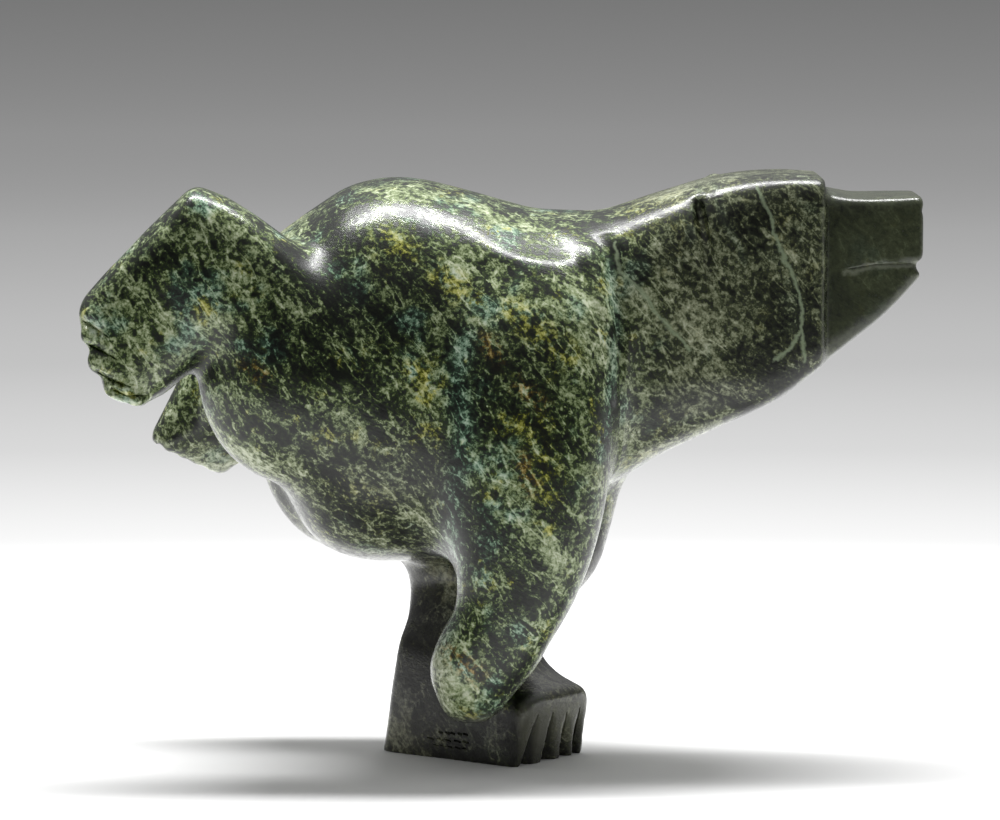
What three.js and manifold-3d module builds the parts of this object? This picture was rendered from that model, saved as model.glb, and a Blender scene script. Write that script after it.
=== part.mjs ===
// A bear carved from one block of dark green stone, balanced on its left forepaw.
//
// Millimetres, +Z up. The origin is the middle of the standing paw's sole, on the
// ground. The bear looks along +X and its right side is towards -Y.
//
// The body is made the way a carver sees it: a few full, rounded forms that run into
// each other, then the cuts of the saw and the file (sole, toes, mouth).

import * as THREE from 'three';
import { ConvexGeometry } from 'three/addons/geometries/ConvexGeometry.js';
import { mergeVertices } from 'three/addons/utils/BufferGeometryUtils.js';
import { SimplifyModifier } from 'three/addons/modifiers/SimplifyModifier.js';
import Module from 'manifold-3d';

// ---------------------------------------------------------------------------
// Driving dimensions
// ---------------------------------------------------------------------------

const PAW_TURN = -36; // degrees: the standing paw is pigeon-toed, its toes towards -Y
const LIFT = 1.4; // the heights below are given from this far above the sole
const PROUD = 1.5; // a file cut starts this far above the stone
const CELL = 1.3; // grid on which the rounded forms are skinned
const FACES = 8600; // triangles kept after the smooth areas are thinned

// ---------------------------------------------------------------------------
// Rounded forms: each is a function of a point, below zero inside the stone
// ---------------------------------------------------------------------------

const { clamp, degToRad } = THREE.MathUtils;
const X = new THREE.Vector3(1, 0, 0);
const Y = new THREE.Vector3(0, 1, 0);
const Z = new THREE.Vector3(0, 0, 1);

/** Joins two forms with a fillet about `soft` wide. */
function join(a, b, soft) {
  const near = Math.max(soft - Math.abs(a - b), 0);
  return Math.min(a, b) - (near > 0 ? (near * near) / (4 * soft) : 0);
}

/** The stone common to two forms, its edge rounded about `soft` wide. */
const common = (a, b, soft) => -join(-a, -b, soft);

/**
 * A form lofted through superellipse sections, with rounded ends.
 * `along` and `across` are its axes; the third is along x across. The sections lie
 * square to `along`, or slope against it by `lean` millimetres per millimetre.
 * A station is [at, across low, across high, third low, third high, squareness, turn],
 * where `turn` swings the section about its own middle, in degrees.
 */
function loft({ from = [0, 0, 0], along, across, lean = 0, edge = 2, stations }) {
  const third = along.clone().cross(across);
  const [ox, oy, oz] = from;
  const first = stations[0][0];
  const last = stations[stations.length - 1][0];
  const curve = new THREE.CubicInterpolant(
    stations.map((s) => s[0]),
    stations.flatMap((s) => s.slice(1)),
    stations[0].length - 1,
  );
  return (x, y, z) => {
    const px = x - ox;
    const py = y - oy;
    const pz = z - oz;
    const u = px * across.x + py * across.y + pz * across.z;
    const v = px * third.x + py * third.y + pz * third.z;
    const t = px * along.x + py * along.y + pz * along.z - lean * v;
    const [u0, u1, v0, v1, square, turn = 0] = curve.evaluate(clamp(t, first, last));
    const c = Math.cos(degToRad(turn));
    const s = Math.sin(degToRad(turn));
    const du = (u - (u0 + u1) / 2) * c + (v - (v0 + v1) / 2) * s;
    const dv = (v - (v0 + v1) / 2) * c - (u - (u0 + u1) / 2) * s;
    const ru = Math.max((u1 - u0) / 2, 0.2);
    const rv = Math.max((v1 - v0) / 2, 0.2);
    const q = (Math.abs(du / ru) ** square + Math.abs(dv / rv) ** square) ** (1 / square);
    const side = q < 1e-6 ? -Math.min(ru, rv) : Math.hypot(du, dv) * (1 - 1 / q);
    return common(side, Math.max(first - t, t - last), edge);
  };
}

/** An ellipsoid with the given half sizes. */
function ball({ at, half }) {
  const [rx, ry, rz] = half;
  return (x, y, z) => {
    const u = (x - at[0]) / rx;
    const v = (y - at[1]) / ry;
    const w = (z - at[2]) / rz;
    const k = Math.hypot(u, v, w);
    const g = Math.hypot(u / rx, v / ry, w / rz);
    return g < 1e-9 ? -Math.min(rx, ry, rz) : (k * (k - 1)) / g;
  };
}

/** The stone that a flat cut through `at` leaves of a form; `out` points to the waste. */
function planed(form, { at, out, edge }) {
  const [ox, oy, oz] = new THREE.Vector3(...out).normalize().toArray();
  return (x, y, z) => {
    const proud = (x - at[0]) * ox + (y - at[1]) * oy + (z - at[2]) * oz;
    return common(form(x, y, z), proud, edge);
  };
}

// ---------------------------------------------------------------------------
// The bear's forms
// ---------------------------------------------------------------------------

// A station of each loft: at, low and high across, low and high third, squareness.

// Rump, belly, back and chest.
const barrel = loft({
  along: X,
  across: Y,
  edge: 4,
  stations: [
    [-48, -7, 9, 62, 80, 2],
    [-44, -14, 16, 56, 86, 2.1],
    [-38, -21, 22, 50, 90.4, 2.3],
    [-31, -26, 27, 38.2, 95.5, 2.4],
    [-24, -28, 28.5, 34.2, 99.8, 2.5],
    [-15, -29, 29, 33.4, 101.3, 2.5],
    [-4, -29, 29, 34.2, 99.2, 2.5],
    [7, -27, 26, 38, 96, 2.3],
    [17, -24, 23, 44, 92.6, 2.2],
    [25, -19, 18, 51, 87, 2.2],
  ],
});

// Neck and head, flatter on top and at the sides, to the front of the cheeks.
const neck = loft({
  along: X,
  across: Y,
  edge: 1.4,
  stations: [
    [0, -20, 20, 40, 89, 2.8],
    [11, -20.6, 20.6, 42.6, 92.6, 2.9],
    [21, -20.2, 20.2, 46.6, 95.5, 3],
    [31, -19, 19, 52.8, 98.7, 3.6],
    [41, -17.6, 17.6, 57.7, 101.5, 5],
    [52, -16.2, 16.2, 63.4, 102.4, 8],
    [59.4, -14.6, 14.6, 68.9, 102, 9],
  ],
});

const muzzle = loft({
  along: X,
  across: Y,
  edge: 1,
  stations: [
    [50, -12, 12, 61, 98.8, 4],
    [60, -11.8, 11.8, 69.6, 99.4, 8],
    [64, -11.6, 11.6, 72.8, 98.6, 9],
    [70, -11, 11, 77.7, 98.5, 10],
    [76.7, -10, 10, 84.7, 98.7, 10],
  ],
});

// Right hind leg, kicked out behind: haunch, shank, and the slab of the foot, which
// runs down and back from the heel to the toes.
const rightHaunch = ball({ at: [-33, -16.5, 67.6], half: [17, 13.5, 19] });
const rightShank = loft({
  from: [-37.4, -18.5, 94.8],
  along: new THREE.Vector3(-0.85, 0, 0.52).normalize(),
  across: Y,
  stations: [
    [-16, -10.5, 9, 3, 26, 2.4],
    [-4, -10, 8.5, 1, 24, 2.6],
    [8, -9, 8, 0.4, 22, 3],
    [14, -8.4, 8, 1.4, 20, 3],
  ],
});
const rightHindPaw = loft({
  from: [-50, -18.5, 99.6],
  along: new THREE.Vector3(-1, 0, -1).normalize(),
  across: Y,
  lean: 0.45,
  edge: 3,
  stations: [
    [0.4, -8.4, 8, -1, 21, 3],
    [11, -8.6, 8, -1.7, 21, 3.2],
    [21, -8.2, 7.8, -1.5, 20.2, 3.4],
    [29.2, -7.8, 7.6, -1, 15.6, 4],
  ],
});

// Its toes are bars across the end of the slab: [x, z, half length, half height] in the
// side view, the top one first.
const HIND_TOES = [
  [-66.4, 78.6, 3, 1.4],
  [-67, 75, 3, 2],
  [-65.8, 70.6, 3, 2.3],
  [-63.3, 66.1, 2.7, 2],
  [-60.8, 64.6, 2.6, 1.4],
];
const rightHindToes = HIND_TOES.map(([x, z, length, height]) => loft({
  from: [x, -18.5, z],
  along: Y,
  across: new THREE.Vector3(0.91, 0, -0.41).normalize(),
  edge: 1.6,
  stations: [-8.2, 8].map((end) => [end, -length, length, -height, height, 2.4]),
}));

// Left hind leg, lower and shorter. A flat face slopes away under its inner side.
const underLeg = { at: [-50, 13, 55.4], out: [0.26, -0.73, -0.63], edge: 0.6 };
const leftHaunch = ball({ at: [-24.4, 15, 55], half: [17, 13.5, 22] });
const leftShank = planed(loft({
  from: [-24, 18, 62],
  along: X.clone().negate(),
  across: Y,
  stations: [
    [0, -10, 10, -13, 12, 2.4],
    [14, -9, 9, -10, 13.4, 2.6],
    [21, -8.5, 9, -9, 14, 2.8],
    [27, -8, 9, -7, 14, 3],
  ],
}), underLeg);
const leftHindPaw = planed(loft({
  from: [-53.4, 21, 68.5],
  along: new THREE.Vector3(-0.47, 0, -0.88).normalize(),
  across: Y,
  edge: 2.2,
  stations: [
    [-5, -8, 8, 0, 17, 3],
    [17.8, -7.5, 7.5, 0.4, 16.2, 3.2],
  ],
}), underLeg);

// Right foreleg, hanging clear of the ground, with its paw curled back.
const rightForeleg = loft({
  along: Z,
  across: X,
  edge: 2.4,
  stations: [
    [8.2, -6.4, 1, -29, -21, 2.2],
    [12.3, -8.5, 4.4, -31.5, -18.6, 2.4],
    [17.4, -9.8, 8.6, -33, -17, 2.5],
    [22.3, -8.3, 11.4, -33.6, -16, 2.5],
    [28, -5.4, 14.8, -34, -15, 2.5],
    [35.4, -5.1, 18, -34.4, -13.4, 2.6],
    [46, -6.6, 20.8, -34.8, -11, 2.6],
    [58, -7, 22, -34.6, -8, 2.6],
    [70, -5.8, 22, -33, -5, 2.6],
    [79, -3, 21, -30, -3, 2.5],
    [87, 1, 18, -24, -3, 2.4],
  ],
});

// Left foreleg, which carries the bear: its sections turn with the paw at the foot.
const standingLeg = loft({
  along: Z,
  across: X,
  edge: 2,
  stations: [
    [-4, -15.4, 7.6, -7, 12, 5, PAW_TURN],
    [8, -14.8, 7.4, -7.4, 11.6, 4.4, PAW_TURN],
    [17, -13.8, 8.6, -7.4, 12, 3.6, PAW_TURN],
    [24, -13.5, 13.4, -6.6, 13.4, 3, -30],
    [31, -13.6, 19.8, -5, 16, 2.6, -20],
    [38, -12.8, 22.2, -3, 18.6, 2.5, -10],
    [48, -12.2, 24.4, -1, 23, 2.4, 0],
    [60, -13, 25, 0, 26.6, 2.4, 0],
    [72, -6, 24, 2, 27.4, 2.4, 0],
    [80, -2, 21, 3, 25.4, 2.4, 0],
    [87, 2, 17, 3, 21, 2.4, 0],
  ],
});
const toeward = X.clone().applyAxisAngle(Z, degToRad(PAW_TURN));
const outward = Z.clone().cross(toeward);
const standingPaw = loft({
  along: toeward,
  across: outward,
  lean: 0.17,
  edge: 2.2,
  stations: [
    [-15.8, -10.2, 10.2, -5, 22, 7],
    [0, -10.3, 10.3, -5, 18, 7],
    [8, -10.8, 10.4, -5, 13.2, 6],
    [14.8, -11, 10.2, -5, 11.2, 5],
  ],
});

// Each form and the width of the fillet where it joins the forms before it.
const BODY = [
  [barrel, 0],
  [rightForeleg, 9],
  [rightHaunch, 6],
  [rightShank, 3],
  [rightHindPaw, 3],
  ...rightHindToes.map((toe) => [toe, 0.3]),
  [leftHaunch, 5],
  [leftShank, 3],
  [leftHindPaw, 2],
];
const FORWARD = [
  [muzzle, 1],
  [standingLeg, 7],
  [standingPaw, 2.5],
];

/** The neck runs softly out of the withers, but leaves a crease beside the foreleg. */
const neckFillet = (z) => 1.6 + 5 * THREE.MathUtils.smoothstep(z, 64, 88);

function stone(x, y, z) {
  const body = BODY.reduce((d, [form, soft]) => join(d, form(x, y, z), soft), Infinity);
  const withNeck = join(body, neck(x, y, z), neckFillet(z));
  return FORWARD.reduce((d, [form, soft]) => join(d, form(x, y, z), soft), withNeck);
}

// ---------------------------------------------------------------------------
// Skin: one vertex in each grid cell that the surface crosses, then drawn onto it
// ---------------------------------------------------------------------------

function skin(form, box, cell) {
  const size = box.getSize(new THREE.Vector3()).divideScalar(cell);
  const nx = Math.ceil(size.x) + 1;
  const ny = Math.ceil(size.y) + 1;
  const nz = Math.ceil(size.z) + 1;
  const at = (i, j, k) => i + nx * (j + ny * k);
  const value = new Float32Array(nx * ny * nz);
  for (let k = 0; k < nz; k += 1) {
    for (let j = 0; j < ny; j += 1) {
      for (let i = 0; i < nx; i += 1) {
        value[at(i, j, k)] = form(box.min.x + i * cell, box.min.y + j * cell, box.min.z + k * cell);
      }
    }
  }

  const CORNERS = [0, 1, 2, 3, 4, 5, 6, 7].map((c) => [c & 1, (c >> 1) & 1, c >> 2]);
  const EDGES = CORNERS.flatMap((_, a) => [1, 2, 4].filter((s) => !(a & s)).map((s) => [a, a | s]));
  const vertexOf = new Map();
  const positions = [];
  for (let k = 0; k < nz - 1; k += 1) {
    for (let j = 0; j < ny - 1; j += 1) {
      for (let i = 0; i < nx - 1; i += 1) {
        const corner = CORNERS.map(([a, b, c]) => value[at(i + a, j + b, k + c)]);
        const crossed = EDGES.filter(([a, b]) => corner[a] < 0 !== corner[b] < 0);
        if (!crossed.length) continue;
        const point = new THREE.Vector3();
        for (const [a, b] of crossed) {
          const share = corner[a] / (corner[a] - corner[b]);
          const start = new THREE.Vector3(...CORNERS[a]);
          point.add(start.lerp(new THREE.Vector3(...CORNERS[b]), share));
        }
        point.divideScalar(crossed.length).add(new THREE.Vector3(i, j, k));
        point.multiplyScalar(cell).add(box.min);
        vertexOf.set(at(i, j, k), positions.length / 3);
        positions.push(...drawnOnto(form, point));
      }
    }
  }

  const index = [];
  const steps = [1, nx, nx * ny];
  for (let k = 1; k < nz - 1; k += 1) {
    for (let j = 1; j < ny - 1; j += 1) {
      for (let i = 1; i < nx - 1; i += 1) {
        const here = at(i, j, k);
        for (let axis = 0; axis < 3; axis += 1) {
          const inside = value[here] < 0;
          if (inside === value[here + steps[axis]] < 0) continue;
          const s = steps[(axis + 1) % 3];
          const r = steps[(axis + 2) % 3];
          const ring = [here - s - r, here - r, here, here - s].map((c) => vertexOf.get(c));
          if (!inside) ring.reverse();
          index.push(ring[0], ring[1], ring[2], ring[0], ring[2], ring[3]);
        }
      }
    }
  }
  const geometry = new THREE.BufferGeometry();
  geometry.setAttribute('position', new THREE.Float32BufferAttribute(positions, 3));
  geometry.setIndex(index);
  return geometry;
}

/** The point moved down the form's gradient until it lies on its surface. */
function drawnOnto(form, p) {
  const e = 0.05;
  for (let step = 0; step < 3; step += 1) {
    const d = form(p.x, p.y, p.z);
    const g = new THREE.Vector3(
      form(p.x + e, p.y, p.z) - form(p.x - e, p.y, p.z),
      form(p.x, p.y + e, p.z) - form(p.x, p.y - e, p.z),
      form(p.x, p.y, p.z + e) - form(p.x, p.y, p.z - e),
    ).divideScalar(2 * e);
    const slope = Math.max(g.lengthSq(), 0.05);
    const move = clamp(-d / slope, -0.5, 0.5);
    p.addScaledVector(g, move);
  }
  return p.toArray();
}

// ---------------------------------------------------------------------------
// Cuts
// ---------------------------------------------------------------------------

const wasm = await Module();
wasm.setup();

function solid(geometry) {
  const bare = geometry.clone();
  bare.deleteAttribute('normal');
  bare.deleteAttribute('uv');
  const welded = mergeVertices(bare, 1e-4);
  return new wasm.Manifold(
    new wasm.Mesh({
      numProp: 3,
      vertProperties: welded.attributes.position.array,
      triVerts: new Uint32Array(welded.index.array),
    }),
  );
}

function geometryOf(manifold) {
  const mesh = manifold.getMesh();
  const geometry = new THREE.BufferGeometry();
  geometry.setAttribute('position', new THREE.BufferAttribute(mesh.vertProperties, 3));
  geometry.setIndex(new THREE.BufferAttribute(mesh.triVerts, 1));
  return geometry;
}

/**
 * A V-shaped file cut along a line of stops [x, y, z, width, depth] on the surface.
 * `out` points away from the stone.
 */
function fileCut(stops, out) {
  const away = new THREE.Vector3(...out).normalize();
  const section = ([x, y, z, width, depth], across) => {
    const proud = new THREE.Vector3(x, y, z).addScaledVector(away, PROUD);
    const reach = (width / 2) * (1 + PROUD / depth);
    return [
      new THREE.Vector3(x, y, z).addScaledVector(away, -depth),
      proud.clone().addScaledVector(across, reach),
      proud.clone().addScaledVector(across, -reach),
    ];
  };
  return stops.slice(1).map((stop, i) => {
    const from = new THREE.Vector3(...stops[i]);
    const across = new THREE.Vector3(...stop).sub(from).cross(away).normalize();
    return solid(new ConvexGeometry([...section(stops[i], across), ...section(stop, across)]));
  });
}

// Four cuts part the five toes of each paw.
const cuts = [];

// On the standing paw: how far outward each cut is at the sole, its width there, how far
// outward its point is, and the height of the point.
for (const [base, width, tip, top] of [
  [-7.9, 3.8, -6.4, 7.7],
  [-1.6, 4.4, -1.9, 7.5],
  [3.7, 3.4, 2.4, 7],
  [7.3, 2.6, 6.4, 7.3],
]) {
  const foot = toeward.clone().multiplyScalar(14.7).addScaledVector(outward, base);
  const arch = toeward.clone().multiplyScalar(16.2).addScaledVector(outward, tip);
  cuts.push(...fileCut(
    [[foot.x, foot.y, -LIFT - 0.5, width, 3.6], [arch.x, arch.y, top, 0.5, 0.4]],
    [toeward.x, toeward.y, -0.17],
  ));
}

/** Cuts that run from the end of a hind paw a little way up its two flat sides. */
function besideToes({ ends, middle, half, inward, reach, width, depth }) {
  for (const [x, z] of ends) {
    for (const side of [-1, 1]) {
      const y = middle + side * half;
      cuts.push(...fileCut(
        [
          [x - inward[0], y, z - inward[1], width, depth],
          [x + inward[0] * reach, y, z + inward[1] * reach, 0.5, 0.3],
        ],
        [0, side, 0],
      ));
    }
  }
}

besideToes({
  ends: [[-69.4, 77.9], [-68.6, 73.4], [-67, 68.9], [-64.6, 65.6]],
  middle: -18.6,
  half: 8,
  inward: [0.91, -0.41],
  reach: 5,
  width: 1.4,
  depth: 0.9,
});

// The left hind paw has no bars, so its cuts also run across the end.
const leftEnds = [[-58.9, 52], [-56.5, 50.5], [-54.1, 49.1], [-51.5, 47.8]];
besideToes({
  ends: leftEnds,
  middle: 21,
  half: 7.4,
  inward: [0.47, 0.88],
  reach: 2,
  width: 0.9,
  depth: 0.5,
});
for (const [x, z] of leftEnds) {
  cuts.push(...fileCut([[x, 12, z, 0.9, 0.5], [x, 30, z, 0.9, 0.5]], [-0.47, 0, -0.88]));
}

// The mouth: a slit along each side of the muzzle, and a notch across its end.
const mouth = [[63.3, 85.9], [71.2, 87], [75.8, 86.7]];
for (const side of [-1, 1]) {
  const y = [11.6, 10.8, 10];
  cuts.push(...fileCut(
    mouth.map(([x, z], i) => [x, side * y[i], z, 0.5 + i * 0.3, 0.6 + i * 0.3]),
    [0, side, 0],
  ));
}
cuts.push(...fileCut([[77, -12, 86.1, 4, 2], [77, 12, 86.1, 4, 2]], [1, 0, -0.1]));
cuts.push(...fileCut([[77, -12, 95.8, 2, 0.8], [77, 12, 95.8, 2, 0.8]], [1, 0, 0]));

// A furrow down the neck behind each ear.
for (const side of [-1, 1]) {
  cuts.push(...fileCut(
    [[36.7, side * 13.6, 99, 1.6, 1.2], [37.6, side * 17.4, 91, 1.5, 1.1]],
    [0, side, 0.5],
  ));
  cuts.push(...fileCut(
    [[37.6, side * 17.4, 91, 1.5, 1.1], [39.4, side * 18, 81, 0.4, 0.3]],
    [0, side, 0],
  ));
}

// ---------------------------------------------------------------------------

const box = new THREE.Box3(new THREE.Vector3(-86, -42, -10), new THREE.Vector3(84, 42, 110));
const full = skin(stone, box, CELL);
const thinned = await new SimplifyModifier().modify(
  full,
  full.attributes.position.count - FACES / 2,
);
let carving = solid(thinned);
const ground = new THREE.BoxGeometry(300, 200, 40).translate(0, 0, -20 - LIFT);
carving = carving.subtract(solid(ground));
for (const cut of cuts) carving = carving.subtract(cut);
carving = carving.translate([0, 0, LIFT]);

// ---------------------------------------------------------------------------

const bear = new THREE.Mesh(
  geometryOf(carving).toNonIndexed(),
  new THREE.MeshStandardMaterial({ color: 0x2e3a2e, roughness: 0.32, metalness: 0 }),
);
bear.geometry.computeVertexNormals();
bear.name = 'bear';

const carvingGroup = new THREE.Group();
carvingGroup.add(bear);

export default carvingGroup;
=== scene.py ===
"""A bear carved from one block of serpentine, balanced on its left forepaw.

The carving is one piece, stone_bear. It starts as a copy of the solid, is softened as
wet sanding softens a carving, then gets the cuts of the file and the graver back.
Blender objects are in metres, in the frame of the solid: +X runs to the muzzle, -Y is
the bear's right side, which the camera sees, and z = 0 is the ground.
"""

import math

import bpy
import numpy as np
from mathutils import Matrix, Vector


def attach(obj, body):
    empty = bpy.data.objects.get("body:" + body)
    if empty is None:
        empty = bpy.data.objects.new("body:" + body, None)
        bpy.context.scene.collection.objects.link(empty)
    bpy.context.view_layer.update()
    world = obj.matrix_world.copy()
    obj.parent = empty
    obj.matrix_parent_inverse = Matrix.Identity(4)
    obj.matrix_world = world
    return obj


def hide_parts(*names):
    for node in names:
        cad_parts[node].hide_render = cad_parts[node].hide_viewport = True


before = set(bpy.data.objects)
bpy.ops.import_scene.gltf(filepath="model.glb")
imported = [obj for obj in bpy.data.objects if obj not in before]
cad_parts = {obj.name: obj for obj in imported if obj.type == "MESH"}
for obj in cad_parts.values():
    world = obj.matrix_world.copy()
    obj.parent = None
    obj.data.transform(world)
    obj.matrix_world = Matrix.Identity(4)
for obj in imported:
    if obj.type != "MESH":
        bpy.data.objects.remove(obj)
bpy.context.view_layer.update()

MM = 0.001


# --------------------------------------------------------------------------------------
# Modelling helpers. Places, widths and depths are in millimetres
# --------------------------------------------------------------------------------------


def only(*objects):
    """Selects these objects alone; the last one is active."""
    bpy.ops.object.select_all(action="DESELECT")
    for obj in objects:
        obj.select_set(True)
        bpy.context.view_layer.objects.active = obj


def modify(obj, kind, **settings):
    """Adds a modifier to the piece and applies it."""
    only(obj)
    modifier = obj.modifiers.new(kind.title(), kind)
    for name, value in settings.items():
        setattr(modifier, name, value)
    bpy.ops.object.modifier_apply(modifier=modifier.name)


def points_of(obj):
    """The places of the vertices, one row each."""
    co = np.empty(len(obj.data.vertices) * 3)
    obj.data.vertices.foreach_get("co", co)
    return co.reshape(-1, 3) / MM


def ease(value, start, end):
    """0 before start, 1 after end, and smooth between; start may be the larger."""
    t = np.clip((value - start) / (end - start), 0, 1)
    return t * t * (3 - 2 * t)


def weigh(obj, name, weights):
    """A vertex group with these weights, in steps of a hundredth."""
    group = obj.vertex_groups.new(name=name)
    steps = np.rint(np.clip(weights, 0, 1) * 100).astype(int)
    for step in np.unique(steps[steps > 0]):
        group.add(np.flatnonzero(steps == step).tolist(), step / 100, "REPLACE")
    return group.name


def along(points, line):
    """How strongly each point lies in a groove along stops (x, y, z, width, share)."""
    weight = np.zeros(len(points))
    for a, b in zip(np.array(line), np.array(line[1:])):
        run = b[:3] - a[:3]
        t = np.clip((points - a[:3]) @ run / (run @ run), 0, 1)
        away = np.linalg.norm(points - a[:3] - t[:, None] * run, axis=1)
        width, share = (a[3:] + t[:, None] * (b - a)[3:]).T
        weight = np.maximum(weight, share * np.clip(1 - (2 * away / width) ** 2, 0, 1) ** 1.5)
    return weight


def relief(obj, name, height, lines):
    """Raises the stone by height along the lines, or sinks it where height is below 0."""
    points = points_of(obj)
    weights = np.maximum.reduce([along(points, line) for line in lines])
    modify(
        obj, "DISPLACE", strength=height * MM, mid_level=0, vertex_group=weigh(obj, name, weights)
    )


CORNER = math.sin(math.radians(60))  # how far a triangle's lower corners lie to each side


def file_cut(line, out, proud=0.6):
    """A V-shaped cutter along stops (x, y, z, width, depth), which stands proud of the stone.

    out points off the stone.
    """
    places = [Vector(stop[:3]) for stop in line]
    out = Vector(out).normalized()
    bpy.ops.object.select_all(action="DESELECT")
    bpy.ops.mesh.primitive_circle_add(vertices=3, fill_type="NGON", enter_editmode=True)
    for _ in places[1:]:
        bpy.ops.mesh.extrude_region_move(TRANSFORM_OT_translate={"value": (0, 0, 1)})
    bpy.ops.object.mode_set(mode="OBJECT")
    wedge = bpy.context.object
    for vertex in wedge.data.vertices:
        i = round(vertex.co.z)
        side = round(vertex.co.x / CORNER)
        run = places[min(i + 1, len(places) - 1)] - places[max(i - 1, 0)]
        width, depth = line[i][3:]
        half = width / 2 * (1 + proud / depth) * side
        rise = proud if vertex.co.y < 0 else -depth
        vertex.co = (places[i] + half * run.cross(out).normalized() + rise * out) * MM
    return wedge


def cut_away(obj, wedges):
    """Cuts all the wedges out of the piece at once."""
    only(*wedges)
    bpy.ops.object.join()
    cutter = bpy.context.object
    bpy.ops.object.mode_set(mode="EDIT")
    bpy.ops.mesh.select_all(action="SELECT")
    bpy.ops.mesh.normals_make_consistent(inside=False)
    bpy.ops.object.mode_set(mode="OBJECT")
    modify(obj, "BOOLEAN", operation="DIFFERENCE", object=cutter, solver="EXACT")
    bpy.data.objects.remove(cutter)


def mirrored(line, middle):
    """The same line on the other side of the plane y = middle."""
    return [(x, 2 * middle - y, *rest) for x, y, *rest in line]


# --------------------------------------------------------------------------------------
# The stone, softened all over except where the file left crisp edges
# --------------------------------------------------------------------------------------

FINEST_FORM = 0.38  # mm, the size of the smallest step that the file leaves
SANDING_ROUNDS = 60
POLISHING_ROUNDS = 3
UNEVEN_ACROSS = 13
UNEVEN_HEIGHT = 0.2
FACES_KEPT = 0.28  # the share that the form needs, most of it where the stone curves

bear = bpy.data.objects.new("stone_bear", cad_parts["bear"].data.copy())
bpy.context.scene.collection.objects.link(bear)
only(bear)
bpy.ops.object.mode_set(mode="EDIT")
bpy.ops.mesh.select_all(action="SELECT")
bpy.ops.mesh.remove_doubles(threshold=0.001 * MM)
bpy.ops.object.mode_set(mode="OBJECT")
bpy.ops.mesh.customdata_custom_splitnormals_clear()
modify(bear, "REMESH", mode="VOXEL", voxel_size=FINEST_FORM * MM)

x, y, z = points_of(bear).T
sole = ease(z, 4, 1)
toes = ease(z, 16, 13) * ease(x - y, 18, 22)
hind_toes = 0.9 * ease(x, -57, -60) * ease(z, 83, 80)
muzzle = 0.75 * ease(x, 58.5, 61)
cheek = ease(np.abs(x - 59.5), 3, 1.5)
nose = ease(x, 73, 76)
crisp = np.maximum.reduce([sole, 0.9 * toes, hind_toes, muzzle, 0.9 * cheek])
soft = weigh(bear, "soft", 1 - crisp)
modify(bear, "SMOOTH", factor=0.5, iterations=SANDING_ROUNDS, vertex_group=soft)

# Low relief: the furrows and the rib of each ear, the grooves that round the hind toes,
# the line over the curled forepaw, and the crease where the neck leaves the shoulder.
EAR_FURROW = [
    (37.1, -9.4, 101.3, 2, 0.5), (37.3, -14.1, 97.8, 2.6, 1), (38.2, -17.1, 92.7, 2.6, 1),
    (39.1, -17.8, 87.9, 2.2, 0.6), (39.5, -17.9, 84.9, 1.6, 0.1),
]
EAR_FRONT = [
    (43.4, -11.5, 101.8, 2, 0.4), (43.8, -15.2, 98.4, 2.4, 0.6), (45, -16.9, 94, 2.2, 0.3),
    (46, -17, 91, 1.6, 0),
]
EAR_RIB = [
    (40.4, -9, 102.6, 2.6, 0.7), (40.5, -14.2, 99.5, 3, 1), (41, -16.6, 95.3, 2.8, 0.8),
    (42.8, -17.2, 90.5, 2.4, 0.1),
]
HIND_GROOVES = [
    [(-69.6, -25.4, 79.4, 2, 0.8), (-66.6, -26.5, 77.7, 1.8, 0.7), (-64.6, -26.6, 76.4, 1.4, 0)],
    [(-68.4, -26, 75.2, 2.2, 1), (-65.8, -26.5, 74, 2, 0.8), (-63.2, -26.5, 72.6, 1.4, 0)],
    [(-66.9, -26, 70.4, 2.2, 1), (-64.7, -26.2, 69.2, 2, 0.8), (-61.1, -26.1, 67.9, 1.4, 0)],
    [(-64.6, -26, 67.7, 2, 1), (-61.9, -26.7, 66.4, 1.8, 0.8), (-58.4, -25, 66.3, 1.4, 0)],
]
HIND_MIDDLE = -18.5
FOREPAW_LINE = [
    (-9, -29, 15.9, 1, 0.3), (-7, -30.3, 14.6, 1.2, 1), (-4.4, -31.8, 15.4, 1.2, 1),
    (-2, -32.5, 16.9, 1, 0),
]
# The front edge of the right shoulder, and the crease that parts it from the neck.
SHOULDER_RIDGE = [
    (14.5, -14.5, 94, 6, 0.3), (17.2, -18.9, 91.1, 6, 1), (19.7, -23.9, 82.8, 5, 1),
    (21.8, -24.6, 75.9, 4, 0.8), (22.6, -25, 66, 4, 0.4),
]
SHOULDER_CREASE = [
    (21, -17, 93.5, 5, 0.4), (23, -19.8, 87.7, 5, 1), (23.6, -22, 77.5, 3, 1),
    (23.6, -23, 68.9, 2.4, 1), (23.3, -20.3, 58.2, 2, 0.8), (22.4, -15.9, 52.1, 2, 0.3),
]
furrows = [EAR_FURROW, EAR_FRONT, mirrored(EAR_FURROW, 0), mirrored(EAR_FRONT, 0)]
grooves = HIND_GROOVES + [mirrored(line, HIND_MIDDLE) for line in HIND_GROOVES]
relief(bear, "edges", 0.7, [SHOULDER_RIDGE])
relief(bear, "creases", -1.0, [SHOULDER_CREASE])
relief(bear, "furrows", -1.0, furrows)
relief(bear, "ribs", 0.5, [EAR_RIB, mirrored(EAR_RIB, 0)])
relief(bear, "grooves", -0.6, grooves + [FOREPAW_LINE])

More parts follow.
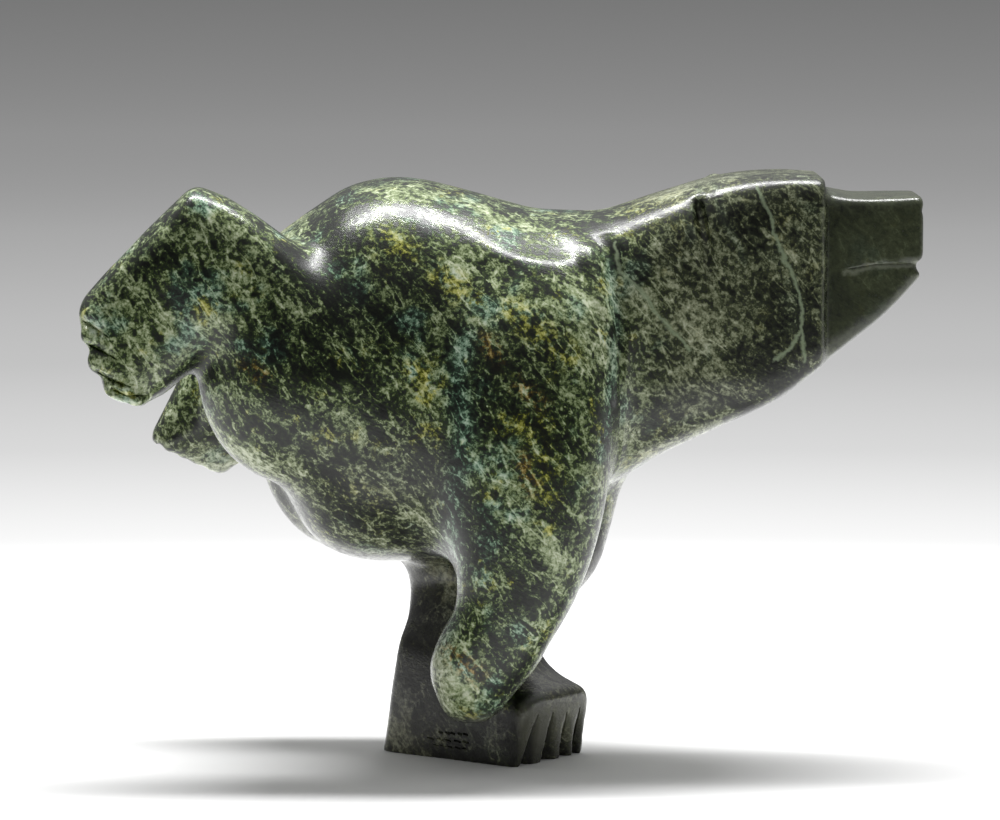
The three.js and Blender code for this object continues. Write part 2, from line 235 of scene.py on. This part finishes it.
# Hand work leaves the stone a little uneven, but not the sole and the end of the nose.
hand_work = bpy.data.textures.new("hand_work", "CLOUDS")
hand_work.noise_scale = UNEVEN_ACROSS * MM
uneven = weigh(bear, "uneven", (1 - sole) * (1 - nose))
modify(
    bear, "DISPLACE", strength=UNEVEN_HEIGHT * MM, mid_level=0.5, texture=hand_work,
    texture_coords="LOCAL", vertex_group=uneven,
)
modify(bear, "SMOOTH", factor=0.5, iterations=POLISHING_ROUNDS)
modify(bear, "DECIMATE", ratio=FACES_KEPT)

# The file's own cuts: between the toes of the standing paw and of the hind paws, and the
# mouth. Then the few shallow strokes that the graver left on the heel.
TOEWARD = Vector((0.809, -0.588, 0))
OUTWARD = Vector((0.588, 0.809, 0))
TOES_AT_GROUND = 14.7
TOES_AT_TOP = 16.2
TOE_LEAN = Vector((0, 0, -0.17))
BELOW_GROUND = -0.5
TOE_DEPTH = 3.6
TOE_TIP = (0.5, 0.4)  # width and depth
# Each groove of the standing paw: its place across the foot and its width at the ground,
# then its place across the foot and its height at the top.
TOE_GROOVES = [
    (-7.9, 3.8, -6.4, 9.1), (-1.6, 4.4, -1.9, 8.9), (3.7, 3.4, 2.4, 8.4), (7.3, 2.6, 6.4, 8.7),
]
MOUTH_CUT = [
    (63.3, -11.6, 87.3, 0.5, 0.2), (68.6, -11.1, 88.1, 0.8, 0.3), (74.6, -10.3, 88.1, 1.2, 0.5),
]
STROKE_ROWS = [
    ((-8.4, -7, 4.7), (-3, -10.9, 4.9)),
    ((-10.4, -5.5, 3.4), (-2.8, -11.1, 3.5)),
    ((-9.4, -6.3, 2.3), (-3.2, -10.8, 2.3)),
]
# Where the strokes of a row start, and how much of the row each takes up. A stroke is
# tilted a little, and starts and ends with these widths and depths.
STROKE_STARTS = (0, 0.22, 0.4, 0.63, 0.82)
STROKE_SHARE = 0.16
STROKE_TILT = Vector((0, 0, 0.12))
STROKE_START = (0.3, 0.2)
STROKE_END = (0.4, 0.25)
RIGHT = (0, -1, 0)
LEFT = (0, 1, 0)
cuts = []
for base, width, tip, top in TOE_GROOVES:
    foot = TOES_AT_GROUND * TOEWARD + base * OUTWARD
    arch = TOES_AT_TOP * TOEWARD + tip * OUTWARD
    stops = [(foot.x, foot.y, BELOW_GROUND, width, TOE_DEPTH), (arch.x, arch.y, top, *TOE_TIP)]
    cuts.append(file_cut(stops, TOEWARD + TOE_LEAN, proud=0.7))
for line in HIND_GROOVES:  # the stronger the groove, the wider and deeper its cut
    stops = [(x, y, z, 0.8 * share + 0.25, 0.7 * share + 0.3) for x, y, z, _, share in line]
    cuts.append(file_cut(stops, RIGHT))
    cuts.append(file_cut(mirrored(stops, HIND_MIDDLE), LEFT))
cuts.append(file_cut(MOUTH_CUT, RIGHT))
cuts.append(file_cut(mirrored(MOUTH_CUT, 0), LEFT))
for start, end in STROKE_ROWS:
    start, end = Vector(start), Vector(end)
    for share in STROKE_STARTS:
        a = start.lerp(end, share) + STROKE_TILT
        b = start.lerp(end, share + STROKE_SHARE) - STROKE_TILT
        cuts.append(file_cut([(*a, *STROKE_START), (*b, *STROKE_END)], -OUTWARD))
cut_away(bear, cuts)

bpy.ops.object.shade_smooth_by_angle(angle=math.radians(30))
bear.vertex_groups.clear()
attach(bear, "root")
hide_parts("bear")


# --------------------------------------------------------------------------------------
# Materials. Patterns are measured in millimetres
# --------------------------------------------------------------------------------------


def colour(code):
    """Linear RGBA from an sRGB hex code."""
    parts = [int(code[i : i + 2], 16) / 255 for i in (1, 3, 5)]
    return [c / 12.92 if c <= 0.04045 else ((c + 0.055) / 1.055) ** 2.4 for c in parts] + [1]


def add(tree, kind, inputs, stops=(), **settings):
    """Adds one node with its inputs, its settings and, where it is a ramp, its stops.

    An input takes a value, a socket, or a node, which gives its first output in use. A
    stop is a place and an sRGB hex code.
    """
    node = tree.nodes.new("ShaderNode" + kind)
    for name, value in settings.items():
        setattr(node, name, value)
    for socket, value in inputs.items():
        if isinstance(value, bpy.types.Node):
            value = next(output for output in value.outputs if output.enabled)
        if isinstance(value, bpy.types.NodeSocket):
            tree.links.new(value, node.inputs[socket])
        else:
            node.inputs[socket].default_value = value
    if stops:
        elements = node.color_ramp.elements
        for at, _ in stops[2:]:
            elements.new(at)
        for element, (at, code) in zip(elements, stops):
            element.position = at
            element.color = colour(code)
    return node


def new_material(name):
    """An empty material and its tree of nodes."""
    material = bpy.data.materials.new(name)
    material.use_nodes = True
    tree = material.node_tree
    tree.nodes.clear()
    return material, tree


EASED = "SMOOTHSTEP"
UNDER, OVER = 6, 7  # the two colours that a Mix node takes

# Serpentine, sold by carvers as soapstone: sawn, filed, wet-sanded and waxed. Black-green
# stone full of feathery grey-green grains and hair-thin pale veins, with teal clouds and
# yellow and rusty specks. Wax over fine sanding marks gives a gloss that the dark clots
# break up, because they take a poorer polish than the grains.
serpentine, stone = new_material("polished_serpentine")
metres = add(stone, "TexCoord", {}).outputs["Object"]
mm = add(stone, "VectorMath", {0: metres, "Scale": 1 / MM}, operation="SCALE")
axis = add(stone, "SeparateXYZ", {0: mm}).outputs


def mineral(size, detail, rough, seed, source=mm):
    """How much of a mineral lies at each place, in blots about size across.

    Each seed is another mineral.
    """
    place = add(stone, "VectorMath", {0: source, 1: (17.3 * seed, 5.1, 9.7 * seed)})
    return add(
        stone, "TexNoise",
        {"Vector": place, "Scale": 1 / size, "Detail": detail, "Roughness": rough},
    )


def crooked(source, size, detail, rough, seed, shift):
    """Places moved about by up to half of shift, so that straight lines turn crooked."""
    drift = mineral(size, detail, rough, seed).outputs["Color"]
    drift = add(stone, "VectorMath", {0: drift, 1: (0.5, 0.5, 0.5)}, operation="SUBTRACT")
    drift = add(stone, "VectorMath", {0: drift, "Scale": shift}, operation="SCALE")
    return add(stone, "VectorMath", {0: source, 1: drift})


# Three ways in which a pattern is drawn out along a line that slopes down to the muzzle:
# the slope in degrees, and how many times larger the pattern gets along it and across it.
DRAWN_OUT = {"grain": (48, 1.7, 0.9), "thread": (50, 2.8, 0.7), "sanding": (25, 4, 0.6)}
drawn_out = {
    name: add(
        stone, "Mapping",
        {"Vector": mm, "Rotation": (0, math.radians(slope), 0), "Scale": (length, 1, height)},
        vector_type="TEXTURE",
    )
    for name, (slope, length, height) in DRAWN_OUT.items()
}

# Dark clots lie in a feathery net of paler grains, crossed by threads as thin as a hair.
bedding = drawn_out["grain"]
curly = crooked(bedding, 4, 4, 0.6, seed=1, shift=5)
clouds = mineral(14, 3, 0.5, seed=2, source=bedding)
feathers = mineral(3.2, 7, 0.7, seed=3, source=curly)
grains = mineral(0.8, 5, 0.75, seed=4)
net = add(
    stone, "TexVoronoi", {"Vector": curly, "Scale": 1 / 1.9}, feature="DISTANCE_TO_EDGE"
)
threads = mineral(5, 2, 0.5, seed=13, source=drawn_out["thread"])
threads = add(stone, "Math", {0: threads, 1: 0.5}, operation="SUBTRACT")
threads = add(stone, "Math", {0: threads}, operation="ABSOLUTE")

light = -1.69
for field, weight in ((clouds, 1.2), (feathers, 1.5), (grains, 1.5)):
    light = add(stone, "Math", {0: field, 1: weight, 2: light}, operation="MULTIPLY_ADD")
for field, start, end, low, high in ((net, 0.28, 0.02, -0.07, 0.13), (threads, 0.022, 0, 0, 0.2)):
    share = add(
        stone, "MapRange",
        {0: field, "From Min": start, "From Max": end, "To Min": low, "To Max": high},
        interpolation_type=EASED,
    )
    light = add(stone, "Math", {0: light, 1: share})

# What changes along the bear: the axis, where the change starts and ends, and its values
# there. The neck is calmer and a little paler than the body. The muzzle is calmer still,
# and darker again.
CHANGES = {
    "neck_contrast": ("X", 20, 36, 1, 0.8),
    "muzzle_contrast": ("X", 57, 61, 1, 0.2),
    "neck_tone": ("X", 20, 36, 0.48, 0.53),
    "muzzle_tone": ("X", 57, 61, 0, -0.07),
    # Painted reflection of the pale floor, growing lower down on the body.
    "painted_floor_reflection": ("Z", 66, 50, 0, 0.6),
    "rear": ("X", -4, -9, 0, 1),
    "low": ("Z", 48, 32, 0, 1),
    "inner": ("Y", -15.5, -12, 0, 1),
    "ground": ("Z", 13, 9, 0, 1),
}
change = {
    name: add(
        stone, "MapRange",
        {0: axis[way], "From Min": start, "From Max": end, "To Min": before, "To Max": after},
        interpolation_type=EASED,
    )
    for name, (way, start, end, before, after) in CHANGES.items()
}
contrast = add(
    stone, "Math", {0: change["neck_contrast"], 1: change["muzzle_contrast"]},
    operation="MULTIPLY",
)
tone = add(stone, "Math", {0: change["neck_tone"], 1: change["muzzle_tone"]})
light = add(stone, "Math", {0: light, 1: 0.48}, operation="SUBTRACT")
light = add(stone, "Math", {0: light, 1: contrast, 2: tone}, operation="MULTIPLY_ADD")

# Colours of the stone from its dark clots to its palest grains.
LEVELS = (0.2, 0.38, 0.5, 0.62, 0.78, 1.0)
TINTS = {
    "green": ("#050a02", "#141f0a", "#3e4c2c", "#748357", "#a2af87", "#d0d7ba"),
    "teal": ("#07100a", "#1a2a20", "#3f5a4a", "#6f917c", "#a0bda8", "#ccdccd"),
    "olive": ("#0a0d02", "#20260a", "#50561e", "#8b8e3c", "#bcbd68", "#dcdb9c"),
    "rust": ("#100d03", "#28220c", "#544720", "#85713a", "#ae9a5e", "#d2c494"),
    "grey": ("#0b0d07", "#1f2318", "#454937", "#6f735b", "#9a9e84", "#c6c9b2"),
    "brown": ("#12120c", "#202018", "#313128", "#434337", "#5e5e4c", "#8c8d76"),
}
tints = {
    name: add(stone, "ValToRGB", {"Fac": light}, stops=list(zip(LEVELS, codes)))
    for name, codes in TINTS.items()
}

# Marks with a place of their own go right through the stone, a little crooked. Their
# stops are (x, z) in the side view.
FLAT = (1, 0, 1)
side_view = crooked(mm, 3, 4, 0.65, seed=12, shift=2.5)
side_view = add(stone, "VectorMath", {0: side_view, 1: FLAT}, operation="MULTIPLY")
BEYOND = 1000.0


def streak(stops, width):
    """1 along a line of stops, 0 at half a width from it."""
    nearest = BEYOND
    for (ax, az), (bx, bz) in zip(stops, stops[1:]):
        run = Vector((bx - ax, 0, bz - az))
        offset = add(stone, "VectorMath", {0: side_view, 1: (ax, 0, az)}, operation="SUBTRACT")
        share = add(
            stone, "VectorMath", {0: offset, 1: run / run.length_squared},
            operation="DOT_PRODUCT",
        )
        share = add(stone, "Clamp", {0: share})
        reached = add(stone, "VectorMath", {0: run, "Scale": share}, operation="SCALE")
        away = add(stone, "VectorMath", {0: offset, 1: reached}, operation="DISTANCE")
        nearest = add(stone, "Math", {0: away, 1: nearest}, operation="MINIMUM")
    return add(
        stone, "MapRange", {0: nearest, "From Min": width / 2, "From Max": 0},
        interpolation_type=EASED,
    )


def most(masks):
    """The strongest of the masks at each place."""
    result = masks[0]
    for mask in masks[1:]:
        result = add(stone, "Math", {0: result, 1: mask}, operation="MAXIMUM")
    return result


def patchy(size, start, end, seed):
    """1 in scattered patches: the less of their mineral it takes, the wider they are."""
    amount = mineral(size, 4, 0.6, seed)
    return add(
        stone, "MapRange", {0: amount, "From Min": start, "From Max": end},
        interpolation_type=EASED,
    )


TEAL_STREAK = [(-3.5, 76.5), (-5.2, 70), (-3.5, 61.2), (-5.8, 50), (-5.8, 41.6), (-7.9, 24)]
SHOULDER_STREAK = [(21.5, 89), (22.6, 77.5), (21.6, 65.7), (20, 56)]
EAR_STREAKS = [
    [(37.4, 101.1), (35.8, 97), (35.4, 92.8)],
    [(40, 101.7), (41, 97), (43.8, 91.9), (45, 88.9)],
]
OLIVE_PATCHES = [
    [(-17.5, 93), (-13.5, 91)], [(-8, 87), (-5, 85)], [(5, 81), (14, 74)],
    [(-12, 71), (-9, 69)], [(-25, 51), (-19, 48)], [(9, 60), (11, 50)], [(26, 96), (33, 99)],
]
RUST_PATCHES = [
    [(0, 76), (2.6, 73)], [(6, 69), (9.6, 66)], [(6.4, 56), (7.6, 52)], [(-41, 72), (-38, 69.6)],
    [(-6, 22.5), (-1, 18.5)],
]
VEINS = [
    [(47.1, 101.3), (49.4, 97), (50.8, 91.8), (53.8, 85.7), (55.2, 80.4), (55.1, 76.9),
     (53, 73.5), (50.4, 71.8)],
    [(55.1, 77), (55.8, 71.6)],
    [(22.4, 92), (23.3, 87), (26.8, 84.2), (31.1, 78.6), (35.5, 73.7)],
]
MOUTH = [(63, 86.7), (68.6, 87.7), (75.5, 88.1)]
# Where the painted highlight runs down the edge of the cheek step.
CHEEK_EDGE_HIGHLIGHT = [(58.7, 101), (58.7, 72)]

teal = [patchy(9, 0.53, 0.68, seed=6), streak(TEAL_STREAK, 8), streak(SHOULDER_STREAK, 3.4)]
teal += [streak(line, 2.6) for line in EAR_STREAKS]
olive = [patchy(7, 0.56, 0.66, seed=7)] + [streak(line, 9) for line in OLIVE_PATCHES]
rust = [streak(line, 6) for line in RUST_PATCHES]

# The neck and the head are greyer, from a border that follows the clouds. Low down at the
# rear the body is greyer too, a painted reflection of the pale floor.
border = add(stone, "Math", {0: clouds, 1: 24, 2: axis["X"]}, operation="MULTIPLY_ADD")
neck = add(
    stone, "MapRange", {0: border, "From Min": 28, "From Max": 48, "To Max": 0.8},
    interpolation_type=EASED,
)
belly_floor_reflection = add(
    stone, "Math", {0: change["painted_floor_reflection"], 1: change["rear"]}, operation="MULTIPLY"
)

# The standing leg is dark brown on its inner faces and at the ground, and its toes are
# paler in front.
inner_leg = add(stone, "Math", {0: change["low"], 1: change["inner"]}, operation="MULTIPLY")
ground = change["ground"]
toeward = add(stone, "VectorMath", {0: mm, 1: TOEWARD}, operation="DOT_PRODUCT")
toe_face = add(
    stone, "MapRange", {0: toeward, "From Min": 14, "From Max": 15.5}, interpolation_type=EASED
)
toe_face = add(stone, "Math", {0: toe_face, 1: ground}, operation="MULTIPLY")

# The file leaves the stone pale in the mouth. A fainter pale line down the step of the cheek
# is a painted highlight, where the edge of the step catches the light.
cheek_edge_highlight = add(
    stone, "MapRange", {0: streak(CHEEK_EDGE_HIGHLIGHT, 0.8), "To Max": 0.4}, interpolation_type=EASED
)

# Each layer: where it lies, how strong it is there, and its colour.
layers = [
    (most(teal), 0.8, tints["teal"]),
    (most(olive), patchy(1.6, 0.42, 0.55, seed=8), tints["olive"]),
    (most(rust), patchy(1.2, 0.46, 0.56, seed=10), tints["rust"]),
    # Grey: the stone's own colour on the neck and head, a painted floor reflection low at the
    # rear.
    (most([neck, belly_floor_reflection]), 1.0, tints["grey"]),
    (most([inner_leg, ground]), 0.9, tints["brown"]),
    (toe_face, 0.55, colour("#6c6d5c")),
    (most([streak(line, 1.2) for line in VEINS]), 0.8, colour("#93a283")),
    # The mouth's pale colour, and a painted highlight down the edge of the cheek step.
    (most([streak(MOUTH, 1.5), cheek_edge_highlight]), 0.6, colour("#868b78")),
]
skin = tints["green"]
for mask, share, tint in layers:
    share = add(stone, "Math", {0: mask, 1: share}, operation="MULTIPLY")
    skin = add(stone, "Mix", {"Factor": share, UNDER: skin, OVER: tint}, data_type="RGBA")

# Sanding marks run along the body, and the grains stand a little proud of the clots.
marks = mineral(0.5, 3, 0.6, seed=11, source=drawn_out["sanding"])
height = add(stone, "Math", {0: grains, 1: 1.1, 2: marks}, operation="MULTIPLY_ADD")
bump = add(stone, "Bump", {"Height": height, "Strength": 0.8, "Distance": 0.042 * MM})
polish = add(
    stone, "MapRange",
    {0: light, "From Min": 0.35, "From Max": 0.6, "To Min": 0.3, "To Max": 0.13},
    interpolation_type=EASED,
)
surface = add(
    stone, "BsdfPrincipled",
    {"Base Color": skin, "Roughness": polish, "IOR": 1.5, "Normal": bump},
)
add(stone, "OutputMaterial", {"Surface": surface})
bear.data.materials.clear()
bear.data.materials.append(serpentine)


# --------------------------------------------------------------------------------------
# The studio: a pale sheet with a painted falloff of light, soft light, and the camera
# --------------------------------------------------------------------------------------

FLOOR_SIZE = 40
bpy.ops.object.select_all(action="DESELECT")
bpy.ops.mesh.primitive_plane_add(size=FLOOR_SIZE, location=(0, 0, 0))
floor = bpy.context.object
floor.name = "studio_floor"

# Matt paper, white round the bear and grey farther off: the grey is a painted falloff of
# the studio light. It is painted darkest in front, a painted shade as of an unlit studio,
# so that the dark stone doesn't mirror a bright floor. Distances are in metres.
painted_falloff_paper, sheet = new_material("paper_with_painted_falloff")
metres = add(sheet, "TexCoord", {}).outputs["Object"]
depth = add(sheet, "SeparateXYZ", {0: metres}).outputs["Y"]
away = add(sheet, "VectorMath", {0: metres, 1: (0.6, 1, 0)}, operation="MULTIPLY")
away = add(sheet, "VectorMath", {0: away}, operation="LENGTH")
beyond = add(sheet, "Math", {0: away, 1: 1.0})
fade = add(sheet, "Math", {0: away, 1: beyond}, operation="DIVIDE")
# The ramp is painted light: white round the bear, greyer farther off as the light falls off.
pale = add(
    sheet, "ValToRGB", {"Fac": fade},
    stops=[
        (0.0, "#ececec"), (0.15, "#e8e8e8"), (0.24, "#b6b6b6"), (0.34, "#a4a4a4"),
        (0.44, "#a2a2a2"), (0.6, "#b9b9b9"), (0.72, "#b9b9b9"), (0.89, "#989898"),
    ],
)
heading = add(sheet, "Math", {0: depth, 1: away}, operation="DIVIDE")
facing = add(
    sheet, "MapRange", {0: heading, "From Min": 0.1, "From Max": -0.8}, interpolation_type=EASED
)
farther = add(
    sheet, "MapRange", {0: away, "From Min": 0.11, "From Max": 0.34}, interpolation_type=EASED
)
# Painted shade in front, as of an unlit studio.
front = add(sheet, "Math", {0: facing, 1: farther}, operation="MULTIPLY")
pale = add(
    sheet, "Mix", {"Factor": front, UNDER: pale, OVER: colour("#242424")}, data_type="RGBA"
)
surface = add(sheet, "BsdfPrincipled", {"Base Color": pale, "Roughness": 0.9})
add(sheet, "OutputMaterial", {"Surface": surface})
floor.data.materials.append(painted_falloff_paper)

# Light from all round, brightest overhead and behind.
world = bpy.data.worlds.new("studio")
world.use_nodes = True
sky = world.node_tree
direction = add(sky, "TexCoord", {}).outputs["Generated"]
axis = add(sky, "SeparateXYZ", {0: direction}).outputs
overhead = add(
    sky, "MapRange",
    {0: axis["Z"], "From Min": 0, "From Max": 0.9, "To Min": 0.2, "To Max": 0.9},
    interpolation_type=EASED,
)
behind = add(
    sky, "MapRange",
    {0: axis["Y"], "From Min": -0.7, "From Max": 0.6, "To Min": 0.35, "To Max": 1},
    interpolation_type=EASED,
)
dome = add(sky, "Math", {0: overhead, 1: behind}, operation="MULTIPLY")
background = sky.nodes["Background"].inputs
background["Color"].default_value = (1, 1, 1, 1)
sky.links.new(dome.outputs[0], background["Strength"])
bpy.context.scene.world = world

# A long soft box above and behind draws the highlight along the back.
BOX_PLACE = Vector((0, 0.25, 1.15))
BOX_AIM = Vector((0, 0, 60 * MM))
lamp = bpy.data.lights.new("top_light", "AREA")
lamp.shape = "RECTANGLE"
lamp.size, lamp.size_y = 1.1, 0.2
lamp.energy = 24
soft_box = bpy.data.objects.new("top_light", lamp)
soft_box.location = BOX_PLACE
soft_box.rotation_euler = (BOX_AIM - BOX_PLACE).to_track_quat("-Z", "Y").to_euler()
bpy.context.scene.collection.objects.link(soft_box)

CAMERA_ANGLE = math.radians(5.6)
CAMERA_AIM = Vector((2.5, 0, 61.4)) * MM
CAMERA_DISTANCE = 900 * MM
camera = bpy.data.objects.new("camera", bpy.data.cameras.new("camera"))
camera.data.lens = 182.5
camera.location = CAMERA_AIM + CAMERA_DISTANCE * Vector(
    (0, -math.cos(CAMERA_ANGLE), math.sin(CAMERA_ANGLE))
)
camera.rotation_euler = (math.radians(90) - CAMERA_ANGLE, 0, 0)
bpy.context.scene.collection.objects.link(camera)
bpy.context.scene.camera = camera
bpy.context.scene.view_settings.view_transform = "Standard"
